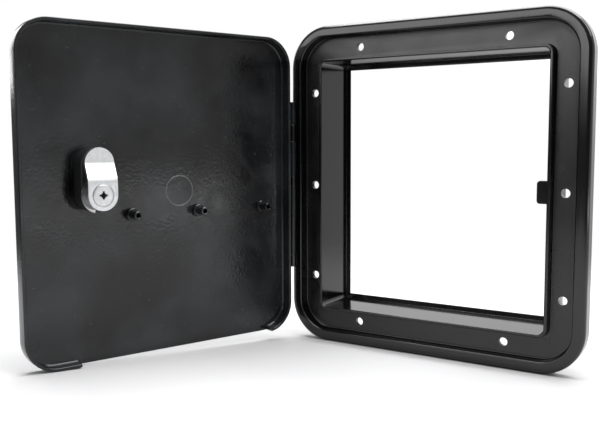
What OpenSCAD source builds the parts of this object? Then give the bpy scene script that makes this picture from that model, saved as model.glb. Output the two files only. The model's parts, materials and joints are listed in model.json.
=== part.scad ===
// Lockable access hatch for a deck or a locker: a moulded frame, a hinged door and a cam lock.
// X runs along the width, Z up, and +Y points into the locker. The origin is in the middle
// of the frame, on the front face of the screw flange. The door is drawn standing open.

/* [Frame] */
// Overall width of the frame
frame_w = 211.5; // [190:0.5:240]
// Overall height of the frame
frame_h = 227.5; // [200:0.5:260]
// Radius of the frame's outer corners
frame_corner_r = 29.25; // [28:0.25:34]
// Width of the raised rim round the door
rim_w = 8.05; // [7.5:0.05:8.5]
// Height of the rim above the screw flange
rim_out = 8; // [7.8:0.1:8.5]
// Thickness of the screw flange
flange_t = 3; // [2.5:0.1:3.5]
// Rounding of the rim's outer edge
rim_edge_r = 3; // [2:0.1:4]
// Depth of the coaming behind the front of the screw flange
coaming_depth = 30.8; // [26:0.1:45]
// Wall thickness of the coaming
coaming_t = 2.2; // [1.8:0.1:2.4]
// Width of the lip round the rear opening
rear_lip_w = 3.7; // [2:0.1:3.8]

/* [Fixing screws] */
// Diameter of the screw holes
screw_hole_d = 5.6; // [4.2:0.1:6]
// Distance from the frame's outer edge to the screw holes
screw_inset = 15.75; // [15:0.25:16.5]
// Distance between the two holes in the top or the bottom
screw_pitch_x = 106; // [90:1:120]
// Distance between the outer holes in a side
screw_pitch_y = 134; // [110:1:140]

/* [Door] */
// Gap between the door's edge and the rim
door_gap = 0.8; // [0.7:0.1:1.2]
// Thickness of the door panel
panel_t = 2.5; // [2:0.1:2.6]
// Distance from the screw flange to the panel's inner face, with the door shut
panel_out = 8.3; // [8.2:0.1:8.6]
// Thickness of the wall round the door's edge
wall_t = 2; // [1.6:0.1:2.4]
// How far the door stands open as drawn
open_angle = 110; // [0:1:180]

/* [Hinge] */
// Outer diameter of the knuckles
knuckle_d = 5.5; // [5.2:0.1:5.6]
// Diameter of the hinge pin
pin_d = 2.6; // [2:0.1:3]
// Top end of the hinge
hinge_top = 60.6; // [58:0.1:64]
// Bottom end of the hinge
hinge_bottom = -60.5; // [-64:0.1:-58]

/* [Lock] */
// Distance from the door's free edge to the lock's axis
lock_inset = 45.4; // [44:0.1:48]
// Distance from the lock's axis to the tip of the cam
cam_reach = 28.5; // [27:0.1:28.6]
// Width of the cam at the screw
cam_w = 18.6; // [16:0.1:19]
// Thickness of the cam's plate
cam_t = 2.5; // [2:0.1:2.5]
// Diameter of the plug
plug_d = 13; // [12.8:0.1:13.2]
// Number of wafers in the plug
wafer_count = 5; // [3:1:5]

/* [Hidden] */
$fn = 96;

black = [0.13, 0.13, 0.135];
dark_rubber = [0.07, 0.07, 0.07];
zinc = [0.82, 0.82, 0.84];
steel = [0.62, 0.63, 0.65];
brass = [0.78, 0.65, 0.36];

eps = 0.01;
fit = 0.05;     // radial clearance of a running fit
slack = 0.1;    // gap between pieces that only lie side by side

// Frame. Every ring of the frame and of the door is a profile swept round one rectangle of corner
// centres, so a distance from that rectangle is a radius in the corners.
centre_x = frame_w / 2 - frame_corner_r;
centre_y = frame_h / 2 - frame_corner_r;
recess_r = frame_corner_r - rim_w;
lip_out = 7.5;
lip_r = 3.9;
lip_edge_r = 0.8;
rear_lip_t = 1.6;
rear_lip_bevel = 1.2;
rim_inner_edge_r = 1;
core_in_r = recess_r + 2.5;
core_out_r = frame_corner_r - 2.3;
core_roof = 3.2;
ejector_r = 3.5;
ejector_depth = 0.15;
side_mark_y = 35;
corner_mark_in = [4, 5];

// Keeper that the cam turns behind
keeper_h = 14.4;
keeper_reach = 8.4;
keeper_front = 1.2;
keeper_back = 5.2;
keeper_round = 2;

// Hinge
hinge_inset = 1.25;
hinge_x = -frame_w / 2 + hinge_inset;
hinge_out = 9;
knuckle_r = knuckle_d / 2;
pin_r = pin_d / 2;
knuckle_gap = 0.35;
arm_gap = 0.45;         // between a frame knuckle and the door's plate
notch_clearance = 0.55;
notch_out = hinge_out - knuckle_r - notch_clearance;
notch_x = hinge_x + knuckle_r + knuckle_gap;
notch_slack = 0.4;
web_overlap = 0.5;      // of a frame knuckle's web, past the knuckle's axis
web_root = 1;           // depth of the web below the notch
pin_recess = 0.3;       // of each end of the pin in its knuckle
// Ends of the knuckles from top to bottom; they belong to the door and to the frame by turns
knuckle_ends = [hinge_top, 44, 32, 6, -0.7, -51.5, hinge_bottom];

// Door
door_r = recess_r - door_gap;
wall_end = 0.5;
face_out = panel_out + panel_t;
door_edge_r = 1.6;
wall_fillet = 1.2;
door_hinge_edge = -centre_x - door_r;
wall_cut_from = 17.5;
wall_cut_to = 159.5;
boss_d = 5.4;
boss_hole_d = 3.2;
boss_h = 10.5;
boss_y = -13.8;
boss_from_hinge = [21.6, 73.2, 121.2];
collar_d = 8.2;
collar_h = 3;
ring_from_hinge = 86.6;
ring_r = 10.2;
ring_w = 0.6;
ring_h = 0.3;
// Ejector marks on the inside: distance from the hinge edge, height, radius
door_marks = [
    [88, 85, 5], [84.5, -40, 4.2], [186, 84, 4.2],
    [186, -88, 3.5], [10, -84, 3.5], [10, 84, 3.5]
];

// Lock, along its axis from the outside in
lock_x = centre_x + door_r - lock_inset;
lock_y = 0.8;
lock_collar_w = 2;
lock_collar_h = 1.4;
housing_rise = 18;
housing_r = 10.4;
housing_end = -5.1;
gasket_t = 0.6;
gasket_inset = 0.5;
gasket_clearance = 0.3;
bezel_t = 1.5;
bezel_r = 13.2;
bezel_front = face_out + gasket_t + bezel_t;
shell_r = 9;
shell_front = bezel_front + 0.1;
shell_end = -8.4;
plug_r = plug_d / 2;
plug_head_r = plug_r + 0.7;
plug_head_t = 1;
groove_r = 8.2;
groove_from = housing_end - slack;
groove_to = groove_from - 1.2;
clip_t = 0.7;
clip_bow_r = 130;
clip_opening = 70;
clip_turn = -110;
clip_r = 11.2;
stop_t = 0.7;
stop_r = 7.1;
stop_lug_r = 8.8;
stop_ring_r = stop_r + 0.2;
stop_play = 1;
tail_w = 7.6;
spring_washer_t = 0.3;
spring_washer_room = 0.7;
cam_front = shell_end - stop_t - slack - spring_washer_room - slack;
cam_back = cam_front - cam_t;
cam_joggle = 4.5;
cam_bend_from = 9.4;
cam_bend_to = 19.2;
cam_tip_r = 9.2;
screw_head_r = 6.6;
screw_head_t = 1.1;
screw_head_sunk = 0.8;
screw_head_clearance = 0.15;
screw_shank_r = 2;
screw_shank_len = 8.2;
screw_bore_over = 0.3;   // beyond the end of the shank
drive_r = 2.9;
drive_w = 1.2;
drive_depth = 1.7;
star_r = 1.8;
star_w = 0.6;
star_depth = 0.8;
tail_end = cam_back + screw_head_sunk + slack;

// Wafers, lifted flush with the plug as the key holds them
keyway_w = 2.4;
keyway_h = 8;
keyway_depth = 14;
wafer_t = 1;
wafer_slot_t = 1.2;
wafer_pitch = 2.4;
wafer_first = bezel_front - 3;
wafer_half_w = 2.9;
wafer_tab = 4.7;
wafer_tab_low = 1;
wafer_tab_high = 2.2;
wafer_window_h = 6.4;
wafer_lift = [0.4, -0.6, 0, 0.8, -0.3];
spring_x = 4;
spring_r = 0.8;
spring_wall = 0.35;
spring_clearance = 0.15;
spring_low = -3.4;
spring_high = 0.9;

// Swivelling dust cover
cover_r = 12.9;
cover_t = 1.5;
cover_gap = 0.3;
cover_back = bezel_front + cover_gap;
cover_edge_r = 0.6;
rivet_r = 1.6;
rivet_head_r = 3.6;
rivet_head_t = 1;
rivet_len = 12;
rivet_boss_r = 3.4;
pivot_core_r = 7.2;
pivot_core_end = -4;

// ---- Shapes that repeat ----

// Turns a piece drawn flat, with its outside facing up, to stand upright
module upright() {
    rotate([90, 0, 0]) children();
}

// Swings a piece that was drawn with the door shut to where it stands as drawn
module opened() {
    upright()
        translate([hinge_x, 0, hinge_out]) rotate([0, -open_angle, 0])
            translate([-hinge_x, 0, -hinge_out]) children();
}

module at_lock() {
    opened() translate([lock_x, lock_y, 0]) children();
}

// Rectangle of corner centres grown by r, with round corners
module rounded_rect(r) {
    square([2 * centre_x, 2 * (centre_y + r)], center = true);
    square([2 * (centre_x + r), 2 * centre_y], center = true);
    for (x = [-centre_x, centre_x], y = [-centre_y, centre_y])
        translate([x, y]) circle(r);
}

// Two circles joined along Y
module stadium(r, rise) {
    circle(r);
    translate([0, rise]) circle(r);
    translate([-r, 0]) square([2 * r, rise]);
}

// Sweeps a profile round the rectangle of corner centres: X is the distance from it, Y is outwards
module swept() {
    for (turn = [0, 180]) rotate(turn) {
        translate([centre_x, 0, 0]) rotate([90, 0, 0])
            linear_extrude(2 * centre_y, center = true) children();
        translate([0, centre_y, 0]) rotate(90) rotate([90, 0, 0])
            linear_extrude(2 * centre_x, center = true) children();
        translate([centre_x, centre_y, 0]) rotate_extrude(angle = 90) children();
        translate([-centre_x, centre_y, 0]) rotate(90) rotate_extrude(angle = 90) children();
    }
}

// Takes the corner off a profile: the corner is at the origin, and the profile lies towards -X, -Y
module corner_cut(r) {
    translate([-r, -r]) difference() {
        square(r + 1);
        circle(r);
    }
}

// A tube or a disc between two heights
module disc(r, from, to, hole_r = 0) {
    translate([0, 0, min(from, to)]) difference() {
        cylinder(r = r, h = abs(to - from));
        if (hole_r > 0) translate([0, 0, -1]) cylinder(r = hole_r, h = abs(to - from) + 2);
    }
}

// A straight knuckle of the hinge between two heights
module knuckle(from, to) {
    translate([hinge_x, from, hinge_out]) rotate([90, 0, 0]) cylinder(r = knuckle_r, h = from - to);
}

module hinge_bore() {
    translate([hinge_x, hinge_top + 1, hinge_out]) rotate([90, 0, 0])
        cylinder(r = pin_r + fit, h = hinge_top - hinge_bottom + 2);
}

// ---- Frame ----

module frame_profile() {
    difference() {
        translate([recess_r, -flange_t]) square([rim_w, rim_out + flange_t]);
        translate([frame_corner_r, rim_out]) corner_cut(rim_edge_r);
        translate([recess_r, rim_out]) mirror([1, 0]) corner_cut(rim_inner_edge_r);
        translate([core_in_r, -flange_t - 1])
            square([core_out_r - core_in_r, core_roof + flange_t + 1]);
    }
    translate([lip_r, -flange_t]) square([recess_r - lip_r + eps, flange_t]);
    difference() {
        translate([lip_r, -coaming_depth]) square([coaming_t, lip_out + coaming_depth]);
        translate([lip_r + coaming_t, lip_out]) corner_cut(lip_edge_r);
        translate([lip_r, lip_out]) mirror([1, 0]) corner_cut(lip_edge_r);
    }
    // lip round the rear opening, bevelled at the back
    translate([lip_r, -coaming_depth]) polygon([
        [eps, 0], [rear_lip_bevel - rear_lip_w, 0], [-rear_lip_w, rear_lip_bevel],
        [-rear_lip_w, rear_lip_t], [eps, rear_lip_t]
    ]);
}

module screw_hole(x, y) {
    translate([x, y, -flange_t - 1]) cylinder(d = screw_hole_d, h = flange_t + 2);
}

module screw_holes() {
    side_x = frame_w / 2 - screw_inset;
    end_y = frame_h / 2 - screw_inset;
    for (x = [-1, 1]) {
        for (y = [-1, 0, 1]) screw_hole(x * side_x, y * screw_pitch_y / 2);
        for (y = [-1, 1]) screw_hole(x * screw_pitch_x / 2, y * end_y);
    }
}

module frame_marks() {
    end_y = frame_h / 2 - screw_inset;
    side_x = frame_w / 2 - screw_inset;
    for (y = [-1, 1]) {
        translate([0, y * end_y, -ejector_depth]) cylinder(r = ejector_r, h = 1);
        for (x = [-1, 1]) {
            translate([x * (side_x - corner_mark_in[0]), y * (end_y - corner_mark_in[1]), -ejector_depth])
                cylinder(r = ejector_r, h = 1);
            translate([x * side_x, y * side_mark_y, -ejector_depth]) cylinder(r = ejector_r, h = 1);
        }
    }
}

// A lug on the coaming's wall, rounded at its ends, that the cam turns behind
module keeper() {
    wall_x = centre_x + lip_r;
    translate([wall_x - keeper_reach, 0, -keeper_back]) difference() {
        translate([0, -keeper_h / 2, 0]) cube([keeper_reach + 1, keeper_h, keeper_back - keeper_front]);
        for (side = [0, 1]) mirror([0, side, 0]) translate([0, keeper_h / 2, -1]) mirror([1, 0, 0])
            linear_extrude(keeper_back) corner_cut(keeper_round);
    }
}

module frame_knuckles() {
    for (i = [1:2:5]) {
        from = knuckle_ends[i] - knuckle_gap / 2;
        to = i == 5 ? hinge_bottom : knuckle_ends[i + 1] + knuckle_gap / 2;
        knuckle(from, to);
        translate([hinge_x - web_overlap, to, notch_out - web_root])
            cube([notch_x - hinge_x + web_overlap + eps, from - to, rim_out - notch_out + web_root]);
    }
}

module frame() {
    color(black) upright() difference() {
        union() {
            difference() {
                swept() frame_profile();
                translate([-frame_w / 2 - 1, hinge_bottom - notch_slack, notch_out]) cube([
                    notch_x + frame_w / 2 + 1, hinge_top - hinge_bottom + 2 * notch_slack, rim_out
                ]);
                screw_holes();
                frame_marks();
            }
            keeper();
            frame_knuckles();
        }
        hinge_bore();
    }
}

// ---- Door ----

module door_profile() {
    difference() {
        translate([door_r - wall_t, wall_end]) square([wall_t, face_out - wall_end]);
        translate([door_r, face_out]) corner_cut(door_edge_r);
        translate([door_r, wall_end]) mirror([0, 1]) corner_cut(wall_t / 4);
        translate([door_r - wall_t, wall_end]) mirror([1, 0]) mirror([0, 1]) corner_cut(wall_t / 4);
    }
    // fillet between the wall and the panel
    translate([door_r - wall_t - wall_fillet, panel_out - wall_fillet]) difference() {
        square([wall_fillet + eps, wall_fillet + eps]);
        circle(wall_fillet);
    }
}

module boss() {
    difference() {
        union() {
            disc(boss_d / 2, panel_out + eps, panel_out - boss_h);
            disc(collar_d / 2, panel_out + eps, panel_out - collar_h);
        }
        disc(boss_hole_d / 2, panel_out - 1, panel_out - boss_h - 1);
    }
}

module door_knuckles() {
    arm_x = hinge_x + knuckle_r + arm_gap;
    translate([arm_x, hinge_bottom, panel_out])
        cube([door_hinge_edge - arm_x + wall_t, hinge_top - hinge_bottom, panel_t]);
    for (i = [0:2:4]) {
        from = i == 0 ? hinge_top : knuckle_ends[i] - knuckle_gap / 2;
        to = knuckle_ends[i + 1] + knuckle_gap / 2;
        knuckle(from, to);
        translate([hinge_x, to, panel_out]) cube([arm_x - hinge_x + eps, from - to, panel_t]);
    }
}

module door_blank() {
    translate([0, 0, panel_out]) linear_extrude(panel_t) rounded_rect(door_r - wall_t + eps);
    difference() {
        swept() door_profile();
        translate([door_hinge_edge + wall_cut_from, -centre_y - door_r - 1, wall_end - 1])
            cube([wall_cut_to - wall_cut_from, wall_t + wall_fillet + 1, panel_out - wall_end + 1]);
    }
    for (x = boss_from_hinge) translate([door_hinge_edge + x, boss_y, 0]) boss();
    translate([door_hinge_edge + ring_from_hinge, 0, 0])
        disc(ring_r, panel_out + eps, panel_out - ring_h, ring_r - ring_w);
    translate([lock_x, lock_y, panel_out - lock_collar_h])
        linear_extrude(lock_collar_h + eps) stadium(housing_r + lock_collar_w, housing_rise);
    door_knuckles();
}

module door() {
    color(black) opened() difference() {
        door_blank();
        hinge_bore();
        translate([lock_x, lock_y, panel_out - lock_collar_h - 1])
            linear_extrude(panel_t + lock_collar_h + 2) stadium(housing_r + slack, housing_rise);
        for (mark = door_marks) translate([door_hinge_edge + mark[0], mark[1], panel_out - 1])
            cylinder(r = mark[2], h = 1 + ejector_depth);
    }
}

module hinge_pin() {
    color(steel) upright() translate([hinge_x, hinge_top - pin_recess, hinge_out]) rotate([90, 0, 0])
        cylinder(r = pin_r, h = hinge_top - hinge_bottom - 2 * pin_recess);
}

// ---- Lock, fixed parts ----

module lock_housing() {
    color(black) at_lock() difference() {
        union() {
            translate([0, 0, housing_end])
                linear_extrude(bezel_front - housing_end) stadium(housing_r, housing_rise);
            translate([0, 0, bezel_front - bezel_t])
                linear_extrude(bezel_t) stadium(bezel_r, housing_rise);
        }
        disc(shell_r + slack, housing_end - 1, bezel_front + 1);
        translate([0, housing_rise, 0]) difference() {
            disc(pivot_core_r, pivot_core_end, bezel_front + 1);
            disc(rivet_boss_r, pivot_core_end - 1, bezel_front);
        }
        translate([0, housing_rise, 0])
            disc(rivet_r + fit, bezel_front - rivet_len - slack, bezel_front + 1);
    }
}

module bezel_gasket() {
    color(dark_rubber) at_lock() translate([0, 0, face_out]) linear_extrude(gasket_t) difference() {
        stadium(bezel_r - gasket_inset, housing_rise);
        stadium(housing_r + gasket_clearance, housing_rise);
    }
}

module lock_shell() {
    color(zinc) at_lock() {
        difference() {
            disc(shell_r, shell_front, shell_end, plug_r + fit);
            disc(plug_head_r + slack, shell_front + 1, shell_front - plug_head_t);
            disc(shell_r + 1, groove_from, groove_to, groove_r);
        }
        // raised half ring that stops the washer's lug at both ends of its travel
        translate([0, 0, shell_end - stop_t]) rotate(180) rotate_extrude(angle = 180)
            translate([stop_ring_r, 0]) square([shell_r - stop_ring_r, stop_t + eps]);
    }
}

// Sprung horseshoe, bowed so that it bears on the housing's end
module retaining_clip() {
    middle = (groove_from + groove_to) / 2;
    color(steel) at_lock() intersection() {
        translate([0, 0, middle - 2]) linear_extrude(4) rotate(clip_turn) difference() {
            circle(clip_r);
            circle(groove_r + slack);
            intersection() {
                rotate(-clip_opening / 2) square(2 * clip_r);
                rotate(clip_opening / 2 - 90) square(2 * clip_r);
            }
        }
        translate([0, 0, groove_from - fit - clip_bow_r]) rotate([90, 0, 0])
            linear_extrude(4 * housing_r, center = true) difference() {
                circle(clip_bow_r, $fn = 720);
                circle(clip_bow_r - clip_t, $fn = 720);
            }
    }
}

// ---- Lock, turning parts ----

module lock_plug() {
    color(brass) at_lock() difference() {
        union() {
            disc(plug_r, shell_front, shell_end);
            disc(plug_head_r, shell_front, shell_front - plug_head_t + slack);
            translate([-tail_w / 2, -tail_w / 2, tail_end])
                cube([tail_w, tail_w, shell_end - tail_end + eps]);
        }
        disc(screw_shank_r + fit, tail_end - 1,
            cam_back + screw_head_sunk + screw_shank_len + screw_bore_over);
        translate([-keyway_w / 2, -keyway_h / 2, shell_front - keyway_depth])
            cube([keyway_w, keyway_h, keyway_depth + 1]);
        for (i = [0:wafer_count - 1]) translate([0, 0, wafer_first - i * wafer_pitch]) {
            cube([2 * (wafer_half_w + slack), 2 * plug_r + 1, wafer_slot_t], center = true);
            translate([0, spring_low - slack, -wafer_slot_t / 2])
                cube([wafer_tab + 2 * slack, wafer_tab_high - spring_low + 4 * slack, wafer_slot_t]);
            translate([spring_x, spring_high, 0]) rotate([90, 0, 0])
                cylinder(r = spring_r + spring_clearance, h = spring_high - spring_low + slack);
        }
    }
}

// Wafer number i, counted from the front
module wafer(i) {
    lift = wafer_lift[i - 1];
    color(brass) at_lock() translate([0, 0, wafer_first - (i - 1) * wafer_pitch - wafer_t / 2])
        linear_extrude(wafer_t) difference() {
            union() {
                intersection() {
                    circle(plug_r - slack);
                    square([2 * wafer_half_w, 2 * plug_r], center = true);
                }
                translate([0, wafer_tab_low]) square([wafer_tab, wafer_tab_high - wafer_tab_low]);
            }
            translate([-keyway_w / 2, lift - wafer_window_h / 2]) square([keyway_w, wafer_window_h]);
        }
}

module wafer_spring(i) {
    color(steel) at_lock() translate([spring_x, spring_high, wafer_first - (i - 1) * wafer_pitch])
        rotate([90, 0, 0]) disc(spring_r, 0, spring_high - spring_low, spring_r - spring_wall);
}

module tail_hole() {
    square(tail_w + 2 * slack, center = true);
}

module stop_washer() {
    washer_t = stop_t - slack;
    color(steel) at_lock() translate([0, 0, shell_end - stop_t]) linear_extrude(washer_t) difference() {
        union() {
            circle(stop_r);
            // lug that runs in the half turn that the shell's raised ring leaves free
            intersection() {
                circle(stop_lug_r);
                rotate(90 + stop_play) square(2 * stop_lug_r);
                rotate(90 - stop_play) square(2 * stop_lug_r);
            }
        }
        tail_hole();
    }
}

module spring_washer() {
    bow_r = 60;
    top = shell_end - stop_t - slack;
    color(steel) at_lock() intersection() {
        translate([0, 0, top - 2]) linear_extrude(3) difference() {
            circle(stop_r);
            tail_hole();
        }
        translate([0, 0, top - bow_r]) rotate([90, 0, 0])
            linear_extrude(4 * stop_r, center = true) difference() {
                circle(bow_r, $fn = 480);
                circle(bow_r - spring_washer_t, $fn = 480);
            }
    }
}

// Side view of the cam: X runs from the screw to the tip, Y outwards
module cam_side() {
    bend = atan(cam_joggle / (cam_bend_to - cam_bend_from));
    shift = cam_t * tan(bend / 2);
    polygon([
        [-cam_w, cam_back], [cam_bend_from, cam_back],
        [cam_bend_to, cam_back + cam_joggle], [2 * cam_reach, cam_back + cam_joggle],
        [2 * cam_reach, cam_front + cam_joggle], [cam_bend_to - shift, cam_front + cam_joggle],
        [cam_bend_from - shift, cam_front], [-cam_w, cam_front]
    ]);
}

module cam() {
    color(zinc) at_lock() difference() {
        intersection() {
            translate([0, 0, cam_back - 1]) linear_extrude(cam_t + cam_joggle + 2) {
                circle(cam_w / 2);
                translate([0, cam_reach - cam_tip_r]) circle(cam_tip_r);
                polygon([
                    [-cam_w / 2, 0], [cam_w / 2, 0],
                    [cam_tip_r, cam_reach - cam_tip_r], [-cam_tip_r, cam_reach - cam_tip_r]
                ]);
            }
            rotate([90, 0, 90]) linear_extrude(2 * cam_w, center = true) cam_side();
        }
        translate([0, 0, cam_back - 1]) linear_extrude(cam_t + 2) tail_hole();
        disc(screw_head_r + screw_head_clearance, cam_back - 1, cam_back + screw_head_sunk);
    }
}

// One slot of the screw's cross recess
module drive_slot(r, w, depth) {
    translate([-r, -w / 2, cam_back + screw_head_sunk - screw_head_t - 1])
        cube([2 * r, w, depth + 1]);
}

module cam_screw() {
    seat = cam_back + screw_head_sunk;
    color(zinc) at_lock() difference() {
        union() {
            disc(screw_head_r, seat, seat - screw_head_t);
            disc(screw_shank_r, seat - eps, seat + screw_shank_len);
        }
        for (turn = [0, 90]) rotate(turn) drive_slot(drive_r, drive_w, drive_depth);
        for (turn = [45, 135]) rotate(turn) drive_slot(star_r, star_w, star_depth);
    }
}

// ---- Dust cover ----

module dust_cover() {
    color(black) at_lock() difference() {
        union() {
            translate([0, 0, cover_back])
                linear_extrude(cover_t - cover_edge_r) stadium(cover_r, housing_rise);
            translate([0, 0, cover_back])
                linear_extrude(cover_t) stadium(cover_r - cover_edge_r, housing_rise);
        }
        translate([0, housing_rise, 0]) disc(rivet_r + fit, cover_back - 1, cover_back + cover_t + 1);
    }
}

module cover_rivet() {
    top = cover_back + cover_t + slack;
    color(steel) at_lock() translate([0, housing_rise, 0]) {
        disc(rivet_r, top + eps, bezel_front - rivet_len);
        disc(rivet_head_r, top, top + rivet_head_t);
    }
}

frame();
door();
hinge_pin();
lock_housing();
bezel_gasket();
lock_shell();
retaining_clip();
lock_plug();
stop_washer();
spring_washer();
cam();
cam_screw();
dust_cover();
cover_rivet();
for (i = [1:wafer_count]) {
    wafer(i);
    wafer_spring(i);
}
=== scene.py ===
import json
import math

import bmesh
import bpy
from mathutils import Matrix, Vector


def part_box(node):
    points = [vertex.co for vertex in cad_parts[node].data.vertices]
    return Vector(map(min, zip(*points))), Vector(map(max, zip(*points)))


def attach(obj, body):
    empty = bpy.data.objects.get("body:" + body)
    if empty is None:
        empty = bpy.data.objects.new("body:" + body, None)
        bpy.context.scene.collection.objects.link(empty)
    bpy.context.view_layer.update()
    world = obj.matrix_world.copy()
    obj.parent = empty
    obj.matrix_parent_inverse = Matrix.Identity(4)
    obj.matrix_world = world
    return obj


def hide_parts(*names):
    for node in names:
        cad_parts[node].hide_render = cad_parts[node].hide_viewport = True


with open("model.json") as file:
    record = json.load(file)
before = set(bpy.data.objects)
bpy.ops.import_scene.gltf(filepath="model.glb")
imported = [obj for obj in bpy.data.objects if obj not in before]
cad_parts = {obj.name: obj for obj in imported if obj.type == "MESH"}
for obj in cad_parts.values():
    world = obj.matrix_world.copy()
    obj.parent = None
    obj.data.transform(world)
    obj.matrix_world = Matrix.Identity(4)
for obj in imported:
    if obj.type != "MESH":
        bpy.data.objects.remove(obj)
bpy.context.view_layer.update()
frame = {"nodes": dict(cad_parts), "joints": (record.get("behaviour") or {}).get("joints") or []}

# Everything is drawn flat first, in mm: X across the hatch, Y up it, Z outwards from the screw
# flange, with the door shut. A piece's place then stands it upright, in metres, where it belongs.

mm = 0.001
joints = {joint["name"]: joint for joint in frame["joints"]}
hingeJoint = joints["door_hinge"]
lockJoint = joints["lock_turn"]

upright = Matrix.Scale(mm, 4) @ Matrix.Rotation(math.radians(90), 4, "X")
hingePoint = Vector(hingeJoint["pos_m"])
openDegrees = hingeJoint["range_deg"][1]
swing = Matrix.Rotation(math.radians(-openDegrees), 4, "Z")
opened = Matrix.Translation(hingePoint) @ swing @ Matrix.Translation(-hingePoint)
doorPlace = opened @ upright
shutLock = opened.inverted() @ Vector(lockJoint["pos_m"])
lockAt = Vector((shutLock.x / mm, shutLock.z / mm))
lockPlace = doorPlace @ Matrix.Translation((*lockAt, 0))

hinge = {
    "at": Vector((hingePoint.x / mm, -hingePoint.y / mm)),
    "knuckle": 2.75,
    "bore": 1.35,
    "gap": 0.35,
    "armGap": 0.45,
    "ends": (60.6, 44, 32, 6, -0.7, -51.5, -60.5),   # door and frame knuckles by turns
}


# small tools

def hexColour(text):
    parts = [int(text[i:i + 2], 16) / 255 for i in (1, 3, 5)]
    return [p / 12.92 if p <= 0.04045 else ((p + 0.055) / 1.055) ** 2.4 for p in parts] + [1]


def addNode(tree, kind, links=None, **settings):
    node = tree.nodes.new("ShaderNode" + kind)
    for name, value in settings.items():
        setattr(node, name, value)
    for name, value in (links or {}).items():
        if isinstance(value, bpy.types.NodeSocket):
            tree.links.new(value, node.inputs[name])
        else:
            node.inputs[name].default_value = value
    return node


def solid(build, *args):
    bm = bmesh.new()
    build(bm, *args)
    bmesh.ops.recalc_face_normals(bm, faces=bm.faces)
    mesh = bpy.data.meshes.new("solid")
    bm.to_mesh(mesh)
    bm.free()
    tool = bpy.data.objects.new("solid", mesh)
    bpy.context.scene.collection.objects.link(tool)
    return tool


def combine(piece, tool, operation):
    modifier = piece.modifiers.new("combine", "BOOLEAN")
    modifier.object = tool
    modifier.operation = operation
    modifier.solver = "EXACT"
    graph = bpy.context.evaluated_depsgraph_get()
    mesh = bpy.data.meshes.new_from_object(piece.evaluated_get(graph))
    piece.modifiers.clear()
    piece.data = mesh
    bpy.data.objects.remove(tool)


def add(piece, build, *args):
    combine(piece, solid(build, *args), "UNION")


def cut(piece, build, *args):
    combine(piece, solid(build, *args), "DIFFERENCE")


def finish(piece, name, place, body, material, nodes, edge=0.25, angle=32):
    # stands a piece in its place, rounds its edges by so many mm and puts it on its body
    bm = bmesh.new()
    bm.from_mesh(piece.data)
    bmesh.ops.remove_doubles(bm, verts=bm.verts, dist=0.002)
    bmesh.ops.dissolve_limit(bm, angle_limit=math.radians(0.5), verts=bm.verts, edges=bm.edges)
    bmesh.ops.transform(bm, matrix=place, verts=bm.verts)
    bm.to_mesh(piece.data)
    bm.free()
    piece.name = name
    piece.data.name = name
    piece.data.shade_smooth()
    piece.data.set_sharp_from_angle(angle=math.radians(angle))
    bevel = piece.modifiers.new("edges", "BEVEL")
    bevel.width = edge * mm
    bevel.segments = 2
    bevel.limit_method = "ANGLE"
    bevel.angle_limit = math.radians(angle)
    bevel.harden_normals = True
    piece.data.materials.clear()
    piece.data.materials.append(material)
    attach(piece, body)
    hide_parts(*nodes)


# shapes

def section(bm, corners, segments=6):
    # closed outline in the XZ plane from (x, z, rounding)
    verts = [bm.verts.new((x, 0, z)) for x, z, _ in corners]
    face = bm.faces.new(verts)
    for rounding in sorted({r for _, _, r in corners if r}):
        chosen = [v for v, c in zip(verts, corners) if c[2] == rounding]
        steps = segments * 2 if rounding > 2 else segments
        bmesh.ops.bevel(bm, geom=chosen, offset=rounding, affect="VERTICES", segments=steps,
                        profile=0.5, material=-1)
    face = bm.faces[:][0]
    bmesh.ops.delete(bm, geom=[face], context="FACES_ONLY")
    return bm.edges[:]


def sweep(bm, corners, filled=False, steps=16):
    # sweeps a section round the rectangle of corner centres; x is the distance from it
    edges = section(bm, corners)
    if filled:
        inner = [e for e in edges if all(abs(v.co.x) < 1e-6 for v in e.verts)]
        bmesh.ops.delete(bm, geom=inner, context="EDGES")
        edges = bm.edges[:]
    bmesh.ops.translate(bm, verts=bm.verts, vec=(corner.x, corner.y, 0))
    signs = ((1, 1), (-1, 1), (-1, -1), (1, -1))
    for i, (x, y) in enumerate(signs):
        spun = bmesh.ops.spin(bm, geom=edges, cent=(x * corner.x, y * corner.y, 0), axis=(0, 0, 1),
                              angle=math.pi / 2, steps=steps, use_duplicate=False)
        edges = [g for g in spun["geom_last"] if isinstance(g, bmesh.types.BMEdge)]
        nextX, nextY = signs[(i + 1) % 4]
        grown = bmesh.ops.extrude_edge_only(bm, edges=edges)["geom"]
        edges = [g for g in grown if isinstance(g, bmesh.types.BMEdge)]
        verts = [g for g in grown if isinstance(g, bmesh.types.BMVert)]
        shift = ((nextX - x) * corner.x, (nextY - y) * corner.y, 0)
        bmesh.ops.translate(bm, verts=verts, vec=shift)
    bmesh.ops.remove_doubles(bm, verts=bm.verts, dist=0.001)
    if filled:
        rims = [e for e in bm.edges if e.is_boundary]
        bmesh.ops.holes_fill(bm, edges=rims, sides=0)


def block(bm, low, high):
    low, high = Vector(low), Vector(high)
    made = bmesh.ops.create_cube(bm, size=1)["verts"]
    bmesh.ops.scale(bm, vec=high - low, verts=made)
    bmesh.ops.translate(bm, vec=(low + high) / 2, verts=made)


def rod(bm, radius, start, end, segments=64):
    # a cylinder between two points
    start, end = Vector(start), Vector(end)
    along = end - start
    turn = along.to_track_quat("Z", "Y").to_matrix().to_4x4()
    bmesh.ops.create_cone(bm, cap_ends=True, segments=segments, radius1=radius, radius2=radius,
                          depth=along.length, matrix=Matrix.Translation((start + end) / 2) @ turn)


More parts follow.
